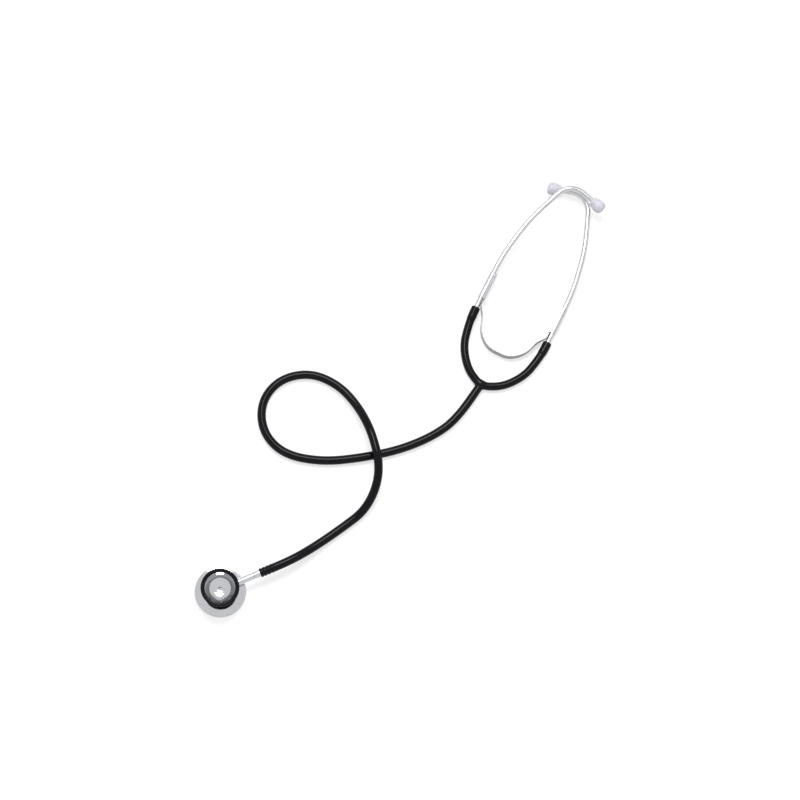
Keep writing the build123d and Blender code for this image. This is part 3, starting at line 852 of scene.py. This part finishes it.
class STETHOSCOPE_OT_yoke(bpy.types.Operator):
    """Moulded Y: the tube and the arms run together in soft crotches"""

    bl_idname = "stethoscope.yoke"
    bl_label = "Y piece"

    def execute(self, context):
        look = context.scene.tubing_look
        tube_r, arm_r, soft = look.tube_width / 2, look.arm_width / 2, look.crotch_blend
        lean = np.radians(YOKE_LEAN)
        forward = np.array((np.cos(lean), np.sin(lean)))
        inlet = np.array(YOKE_INLET)
        # The blank runs past the Y's ends, which are then cut square
        past = 2.0
        left = (YOKE_REACH + past) * YOKE_WAY
        corners = [(left[0], -left[1], LIE), (0, 0, LIE), (left[0], left[1], LIE)]
        arms = in_headset(rounded(corners, [YOKE_RADIUS], 30))
        leg_ends = [inlet - past * forward, inlet + YOKE_LEG * forward]
        leg = in_headset([(*end, LIE) for end in leg_ends])
        leg_way = unit(leg[1] - leg[0])

        def leg_radius(points):
            """Radius of the leg, which narrows evenly from the tube's to the arms'."""
            share = np.clip((points - leg[0]) @ leg_way / np.linalg.norm(leg[1] - leg[0]), 0, 1)
            return tube_r + (arm_r - tube_r) * share

        def field(points):
            """Distance from the joined skin: the lesser of the two tubes' distances, less
            h^2 s / 4 where h = max(0, 1 - |difference| / s) and s is the softness."""
            first = line_distance(points, arms) - arm_r
            second = line_distance(points, leg) - leg_radius(points)
            near = np.clip(1 - np.abs(first - second) / soft, 0, 1)
            return np.minimum(first, second) - near**2 * soft / 4

        station = 0.5 * MM
        blank_arms = carried_grid(spaced(arms, station), round_section(arm_r, 32))
        blank_leg = carried_grid(spaced(leg, station), round_section(tube_r, 32))
        mesh = bpy.data.meshes.new("yoke_blank")
        vertices, faces = skin([blank_arms, blank_leg])
        mesh.from_pydata(vertices.tolist(), [], faces)
        blank = bpy.data.objects.new("yoke_blank", mesh)
        context.scene.collection.objects.link(blank)
        weld = blank.modifiers.new("one_skin", "REMESH")
        weld.mode = "VOXEL"
        weld.voxel_size = 0.42 * MM
        graph = context.evaluated_depsgraph_get()
        welded = bpy.data.meshes.new_from_object(blank.evaluated_get(graph))
        bpy.data.objects.remove(blank)
        points = places_of(welded)
        # Each pass moves a point along the field's slope by its distance, and so onto the skin
        small = 0.01 * MM
        least_slope = 0.2
        for _ in range(6):
            here = field(points)
            slope = np.stack([field(points + small * axis) - here for axis in np.eye(3)], axis=1) / small
            steep = np.maximum((slope**2).sum(1), least_slope)
            points = points - (here / steep)[:, None] * slope
        # The soft joint's underside is flat where it rests on the table
        points[:, 2] = np.maximum(points[:, 2], 0)
        welded.vertices.foreach_set("co", points.ravel())
        form = bmesh.new()
        form.from_mesh(welded)
        mirrored = YOKE_WAY * (1, -1)
        ends = [(inlet, -forward), (YOKE_REACH * YOKE_WAY, YOKE_WAY), (YOKE_REACH * mirrored, mirrored)]
        for at, way in ends:
            place = in_headset([(*at, LIE), (*(at + way), LIE)])
            bmesh.ops.bisect_plane(
                form,
                geom=[*form.verts, *form.edges, *form.faces],
                plane_co=place[0],
                plane_no=place[1] - place[0],
                clear_outer=True,
            )
            rim = [edge for edge in form.edges if edge.is_boundary]
            bmesh.ops.holes_fill(form, edges=rim)
        form.to_mesh(welded)
        form.free()
        faces = [tuple(face.vertices) for face in welded.polygons]
        yoke = make_piece("y_piece", places_of(welded), faces, "black_vinyl", "black_pvc", 60)
        bpy.data.meshes.remove(welded)
        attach(yoke, "tubing")
        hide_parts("yoke")
        return {"FINISHED"}


class STETHOSCOPE_OT_arms(bpy.types.Operator):
    """Arms: soft curves whose ends swell over the ear tubes and close in a rounded mouth"""

    bl_idname = "stethoscope.arms"
    bl_label = "Arms"

    def execute(self, context):
        look = context.scene.tubing_look
        arm_r, ear_r = look.arm_width / 2, context.scene.headset_look.ear_tube_width / 2
        straight = [(ARM_STRAIGHT_U, EAR_V), (ARM_END_U, EAR_V)]
        flat = [YOKE_REACH * YOKE_WAY, ARM_FIRST_RUN * YOKE_WAY, ARM_KNEE, ARM_BEND, *straight]
        for side in SIDE:
            line = soft_line(in_headset([(*point, LIE) for point in flat], side), steps=24)
            line = spaced(line, 0.4 * MM)
            along = lengths_along(line) / MM
            left = along[-1] - along
            # The end swells by an eased step and its mouth rounds off in a quarter circle
            swell = np.clip((ARM_END_LENGTH - left) / ARM_END_TAPER, 0, 1)
            radius = arm_r + ARM_END_SWELL * MM * eased(swell)
            mouth = np.clip(1 - left / ARM_END_ROUND, 0, 1)
            radius = radius - ARM_END_ROUND * MM * edge_drop(mouth)
            outer = carried_grid(line, round_section(radius, 48))
            inner = carried_grid(line[-3:-1][::-1], round_section(np.full(2, ear_r * 1.01), 48))
            surface = skin([np.concatenate([outer, inner])])
            arm = make_piece("arm_" + side, *surface, "black_vinyl", "black_pvc", 50)
            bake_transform(arm)
            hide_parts("arm_tube_" + side)
        return {"FINISHED"}


class STETHOSCOPE_OT_spring(bpy.types.Operator):
    """Leaf spring on edge, in two halves, that steps out to lie along each ear tube"""

    bl_idname = "stethoscope.spring"
    bl_label = "Spring"

    def execute(self, context):
        thick = context.scene.headset_look.strip_thickness
        tongue_v = EAR_V - EAR_TUBE_R - 0.05 - thick / MM / 2
        foot = [(STRIP_BOTTOM_U, 0), (STRIP_BOTTOM_U, STRIP_BOTTOM_V)]
        tongue = [(STRIP_LANDING_U, tongue_v), (STRIP_END_U, tongue_v)]
        plan = [*foot, *STRIP_KINKS, *tongue]
        for side in SIDE:
            line = spaced(rounded(plan, STRIP_BENDS, 24), 0.5)
            u = line[:, 0]
            # The strip narrows to its tongue, and rises to the ear tube's axis, by an eased step
            share = eased(np.clip((u - TONGUE_TAPER_U) / TONGUE_TAPER, 0, 1))
            axis_height = LIE + np.tan(PITCH[side]) * (u - PITCH_LINE_U)
            middle = STRIP_MIDDLE * (1 - share) + axis_height * share
            tall = STRIP_TALL * (1 - share) + TONGUE_TALL * share
            path = in_headset(np.column_stack([u, line[:, 1] * SIDE[side], middle]))
            half_t, half_h = thick / 2, tall * MM / 2
            edge = 0.2 * MM
            corner = arc_line((0, 0), edge, 0, 90, 4)
            quarter = [corner, corner[::-1] * (-1, 1), -corner, corner[::-1] * (1, -1)]
            signs = [(1, 1), (-1, 1), (-1, -1), (1, -1)]
            outline = []
            for points, (x, y) in zip(quarter, signs):
                offset = np.column_stack([np.full(len(u), x * (half_t - edge)), y * (half_h - edge)])
                outline.append(points[None] + offset[:, None])
            grid = carried_grid(path, np.concatenate(outline, axis=1))
            surface = skin([grid])
            strip = make_piece("spring_half_" + side, *surface, "spring_steel", "spring_steel")
            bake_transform(strip)
            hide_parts("spring_strip")
        return {"FINISHED"}


def ear_line():
    """Axis of an ear tube in the headset's flat frame, and the point and way of its last run."""
    heading = np.radians(EAR_HEADING)
    way = np.array((np.cos(heading), np.sin(heading)))
    bends = ((EAR_START_U, EAR_V), (EAR_BEND_U, EAR_V), EAR_SHOULDER, EAR_HOOK)
    corners = [np.array(bend, float) for bend in bends]
    hook = corners[-1]
    corners.append(hook + (TIP_FAR_END - TIP_ON_TUBE + FERRULE_IN_TIP) * way)
    # An arc that starts a run short of its corner has the radius run / tan(half its turn)
    radii = []
    for before, here, after, run in zip(corners, corners[1:], corners[2:], (EAR_BEND_RUN, EAR_SHOULDER_RUN)):
        turn = np.arccos(np.clip(unit(here - before) @ unit(after - here), -1, 1))
        radii.append(run / np.tan(turn / 2))
    radii.append(EAR_HOOK_RADIUS)
    return spaced(rounded(corners, radii, 30), 0.8), hook, way


class STETHOSCOPE_OT_ear_tubes(bpy.types.Operator):
    """Bent binaural tubes, plated, that run on into the ear tips"""

    bl_idname = "stethoscope.ear_tubes"
    bl_label = "Ear tubes"

    def execute(self, context):
        radius = context.scene.headset_look.ear_tube_width / 2
        line = ear_line()[0]
        for side in SIDE:
            path = in_headset(np.column_stack([line, np.full(len(line), LIE)]), side)
            grid = carried_grid(path, round_section(radius, 48))
            tube = make_piece("ear_bend_" + side, *skin([grid]), "drawn_chrome", "chrome_tube")
            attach(tube, "ear_" + side)
            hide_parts("ear_tube_" + side)
        return {"FINISHED"}


class STETHOSCOPE_OT_clamps(bpy.types.Operator):
    """Rolled sleeves that hold the spring's ends against the ear tubes"""

    bl_idname = "stethoscope.clamps"
    bl_label = "Spring clamps"

    def execute(self, context):
        thick = context.scene.headset_look.strip_thickness / MM
        hollow_r = EAR_TUBE_R + 0.02
        deep = EAR_TUBE_R + thick + CLAMP_GAP + CLAMP_WALL
        half = TONGUE_TALL / 2 + CLAMP_GAP + CLAMP_WALL
        # Outline: the larger of a circle round the ear tube and, on its inner side, a box with soft
        # corners round the spring's tongue, |x / deep|^8 + |y / half|^8 = 1
        turn = np.linspace(0, 2 * np.pi, 96, endpoint=False)
        inward = np.maximum(-np.cos(turn), 1e-6)
        pocket = ((inward / deep) ** 8 + np.abs(np.sin(turn) / half) ** 8) ** (-1 / 8)
        pocket = np.where(np.cos(turn) < 0, pocket, 0)
        outer = np.maximum(pocket, hollow_r + CLAMP_WALL)
        # Wall, as its place outwards and along, with bevelled edges
        inner_edge = 0.15
        outer_edge = 0.2
        crest = CLAMP_WALL - outer_edge
        section = [
            (0, inner_edge),
            (inner_edge, 0),
            (crest, 0),
            (CLAMP_WALL, outer_edge),
            (CLAMP_WALL, CLAMP_LENGTH - outer_edge),
            (crest, CLAMP_LENGTH),
            (inner_edge, CLAMP_LENGTH),
            (0, CLAMP_LENGTH - inner_edge),
        ]
        for side in SIDE:
            rings = []
            for out, along in section:
                r = outer - CLAMP_WALL + out
                u = np.full(len(turn), CLAMP_START_U + along)
                place = np.column_stack([u, EAR_V + r * np.cos(turn), LIE + r * np.sin(turn)])
                rings.append(in_headset(place, side))
            sleeve = skin([np.array(rings)], ring=True)
            clamp = make_piece("clamp_sleeve_" + side, *sleeve, "drawn_chrome", "chrome_tube", 28)
            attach(clamp, "ear_" + side)
            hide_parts("spring_clamp_" + side)
        return {"FINISHED"}


class STETHOSCOPE_OT_tips(bpy.types.Operator):
    """Soft ear tips: flared bulbs with a rounded mouth and a hollow for the ferrule"""

    bl_idname = "stethoscope.tips"
    bl_label = "Ear tips"

    def execute(self, context):
        wide = context.scene.headset_look.tip_width / 2 / MM
        hook, way = ear_line()[1:]
        base = hook + (TIP_FAR_END - TIP_ON_TUBE) * way
        flare = [
            (4.2, 0.0),
            (4.6, 0.05),
            (4.85, 2.6),
            (wide - 0.1, 5.4),
            (wide + 0.1, 9.4),
            (wide - 0.9, 12.2),
            (3.4, 12.9),
            (2.4, 13.05),
            (1.75, 13.0),
        ]
        sound_r = 1.3
        socket_r = 3.15
        socket_deep = 8.0
        socket = [(sound_r, socket_deep), (socket_r, socket_deep), (socket_r, 0.0)]
        hollow = rounded([(1.4, 12.6), (sound_r, 12.2), *socket], [0.1, 0.1, 0.1], 3)
        loop = np.concatenate([soft_line(flare, steps=8), hollow])
        for side in SIDE:
            places = in_headset([(*base, LIE), (*(base + way), LIE)], side)
            bulb = skin([turned_grid(loop * MM, places[0], places[1] - places[0], sides=72)], ring=True)
            tip = make_piece("tip_bulb_" + side, *bulb, "frosted_vinyl", "frosted_tip", 60)
            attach(tip, "tip_" + side)
            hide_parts("ear_tip_" + side)
        return {"FINISHED"}


class STETHOSCOPE_OT_fittings(bpy.types.Operator):
    """Finishes of the inner pieces, whose turned shapes stay as they are"""

    bl_idname = "stethoscope.fittings"
    bl_label = "Inner fittings"

    def execute(self, context):
        finishes = {
            "diaphragm": "diaphragm_resin",
            "stem_o_rings": "seal_rubber",
            "detent_ball": "spring_steel",
            "detent_spring": "spring_steel",
            "detent_screw": "spring_steel",
            "ear_tip_ferrule_left": "turned_brass",
            "ear_tip_ferrule_right": "turned_brass",
        }
        for node, finish in finishes.items():
            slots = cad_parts[node].data.materials
            slots.clear()
            slots.append(material_of(finish))
        return {"FINISHED"}


class STETHOSCOPE_OT_stage(bpy.types.Operator):
    """White table, softbox, room light and the photograph's camera"""

    bl_idname = "stethoscope.stage"
    bl_label = "Stage"

    def execute(self, context):
        look = context.scene.stage_look
        add_floor(look)
        add_room(context.scene, look)
        add_softbox(context.scene, look)
        add_camera(context.scene)
        context.scene.view_settings.view_transform = "Standard"
        return {"FINISHED"}


def view_axes():
    """Right, up and back of the photograph's camera."""
    level = np.array((np.cos(VIEW_AZIMUTH), np.sin(VIEW_AZIMUTH), 0.0))
    away = np.array((-np.sin(VIEW_AZIMUTH), np.cos(VIEW_AZIMUTH), 0.0))
    back = np.sin(VIEW_ELEVATION) * RISE - np.cos(VIEW_ELEVATION) * away
    upward = np.cos(VIEW_ELEVATION) * RISE + np.sin(VIEW_ELEVATION) * away
    right = np.cos(VIEW_ROLL) * level + np.sin(VIEW_ROLL) * upward
    up = np.cos(VIEW_ROLL) * upward - np.sin(VIEW_ROLL) * level
    return right, up, back


def placed(right, up, back, at):
    """Matrix of an object with those axes."""
    matrix = np.eye(4)
    matrix[:3, 0], matrix[:3, 1], matrix[:3, 2], matrix[:3, 3] = right, up, back, at
    return Matrix(matrix.tolist())


def add_camera(scene):
    """Camera at the photograph's viewpoint."""
    right, up, back = view_axes()
    camera = bpy.data.cameras.new("viewpoint")
    camera.lens = VIEW_LENS
    camera.sensor_width = VIEW_SENSOR
    holder = bpy.data.objects.new("viewpoint", camera)
    holder.matrix_world = placed(right, up, back, VIEW_TARGET + VIEW_DISTANCE * back)
    scene.collection.objects.link(holder)
    scene.camera = holder


def seen_rays(tree):
    """One for camera, glossy and transmission rays, which see the plain white background."""
    path = add_node(tree, "ShaderNodeLightPath").outputs
    either = {0: path["Is Glossy Ray"], 1: path["Is Transmission Ray"]}
    bounced = add_node(tree, "ShaderNodeMath", either, operation="MAXIMUM").outputs[0]
    seen = {0: path["Is Camera Ray"], 1: bounced}
    return add_node(tree, "ShaderNodeMath", seen, operation="MAXIMUM").outputs[0]


def add_floor(look):
    """White laminate table top: it keeps the object's soft shadow and shows as paper white."""
    mesh = bpy.data.meshes.new("table_top")
    corners = [(x * TABLE_HALF, y * TABLE_HALF, 0) for x, y in ((-1, -1), (1, -1), (1, 1), (-1, 1))]
    mesh.from_pydata(corners, [], [(0, 1, 2, 3)])
    floor = bpy.data.objects.new("table_top", mesh)
    bpy.context.scene.collection.objects.link(floor)
    material, tree, place = new_material("table_laminate")
    colour = tuple(look.floor)
    shade = grain(tree, place, 60.0)
    glow = {0: seen_rays(tree), 1: TABLE_GLOW}
    surface = {
        "Base Color": wander(tree, shade, colour, scaled(colour, 0.985)),
        "Roughness": 0.8,
        "Specular IOR Level": 0.1,
        "Emission Strength": add_node(tree, "ShaderNodeMath", glow, operation="MULTIPLY").outputs[0],
        "Emission Color": (1, 1, 1, 1),
    }
    mesh.materials.append(finished(material, surface))


def add_room(scene, look):
    """World: plain white to the camera, to mirrors and through clear pieces, and a plain level of
    light for all else."""
    world = bpy.data.worlds.new("studio_room")
    scene.world = world
    world.use_nodes = True
    tree = world.node_tree
    tree.nodes.clear()
    light = {"Value": seen_rays(tree), "To Min": look.fill, "To Max": 1.0}
    level = add_node(tree, "ShaderNodeMapRange", light).outputs["Result"]
    shine = add_node(tree, "ShaderNodeBackground", {"Strength": level, "Color": (1, 1, 1, 1)})
    add_node(tree, "ShaderNodeOutputWorld", {"Surface": shine.outputs[0]})


def add_softbox(scene, look):
    """Square softbox overhead, a little behind the object as the camera sees it."""
    right, up, back = view_axes()
    tilt = np.radians(SOFTBOX_TILT)
    toward = np.cos(tilt) * back + np.sin(tilt) * up
    lamp = bpy.data.lights.new("softbox", "AREA")
    lamp.shape = "SQUARE"
    lamp.size = SOFTBOX_SIDE
    lamp.energy = look.key
    holder = bpy.data.objects.new("softbox", lamp)
    lamp_up = unit(up - (up @ toward) * toward)
    lamp_right = np.cross(lamp_up, toward)
    holder.matrix_world = placed(lamp_right, lamp_up, toward, VIEW_TARGET + SOFTBOX_AWAY * toward)
    holder.visible_camera = False
    scene.collection.objects.link(holder)


SETTINGS = {
    "chestpiece_look": ChestpieceSettings,
    "tubing_look": TubingSettings,
    "headset_look": HeadsetSettings,
    "stage_look": StageSettings,
}
OPERATORS = [
    STETHOSCOPE_OT_tube,
    STETHOSCOPE_OT_chestpiece,
    STETHOSCOPE_OT_rim,
    STETHOSCOPE_OT_ring,
    STETHOSCOPE_OT_stem,
    STETHOSCOPE_OT_cuff,
    STETHOSCOPE_OT_yoke,
    STETHOSCOPE_OT_arms,
    STETHOSCOPE_OT_spring,
    STETHOSCOPE_OT_ear_tubes,
    STETHOSCOPE_OT_clamps,
    STETHOSCOPE_OT_tips,
    STETHOSCOPE_OT_fittings,
    STETHOSCOPE_OT_stage,
]


class STETHOSCOPE_PT_panel(bpy.types.Panel):
    """Lists the stethoscope's pieces and their settings"""

    bl_label = "Stethoscope"
    bl_idname = "STETHOSCOPE_PT_panel"
    bl_space_type = "VIEW_3D"
    bl_region_type = "UI"
    bl_category = "Stethoscope"

    def draw(self, context):
        for name, group in SETTINGS.items():
            box = self.layout.box()
            for setting in group.__annotations__:
                box.prop(getattr(context.scene, name), setting)
        for operator in OPERATORS:
            self.layout.operator(operator.bl_idname)


def register():
    for group in SETTINGS.values():
        bpy.utils.register_class(group)
    for name, group in SETTINGS.items():
        setattr(bpy.types.Scene, name, PointerProperty(type=group))
    for operator in OPERATORS:
        bpy.utils.register_class(operator)
    bpy.utils.register_class(STETHOSCOPE_PT_panel)


def unregister():
    bpy.utils.unregister_class(STETHOSCOPE_PT_panel)
    for operator in reversed(OPERATORS):
        bpy.utils.unregister_class(operator)
    for name in SETTINGS:
        delattr(bpy.types.Scene, name)
    for group in SETTINGS.values():
        bpy.utils.unregister_class(group)


def main():
    register()
    for operator in OPERATORS:
        group, name = operator.bl_idname.split(".")
        getattr(getattr(bpy.ops, group), name)()


if __name__ == "__main__":
    main()
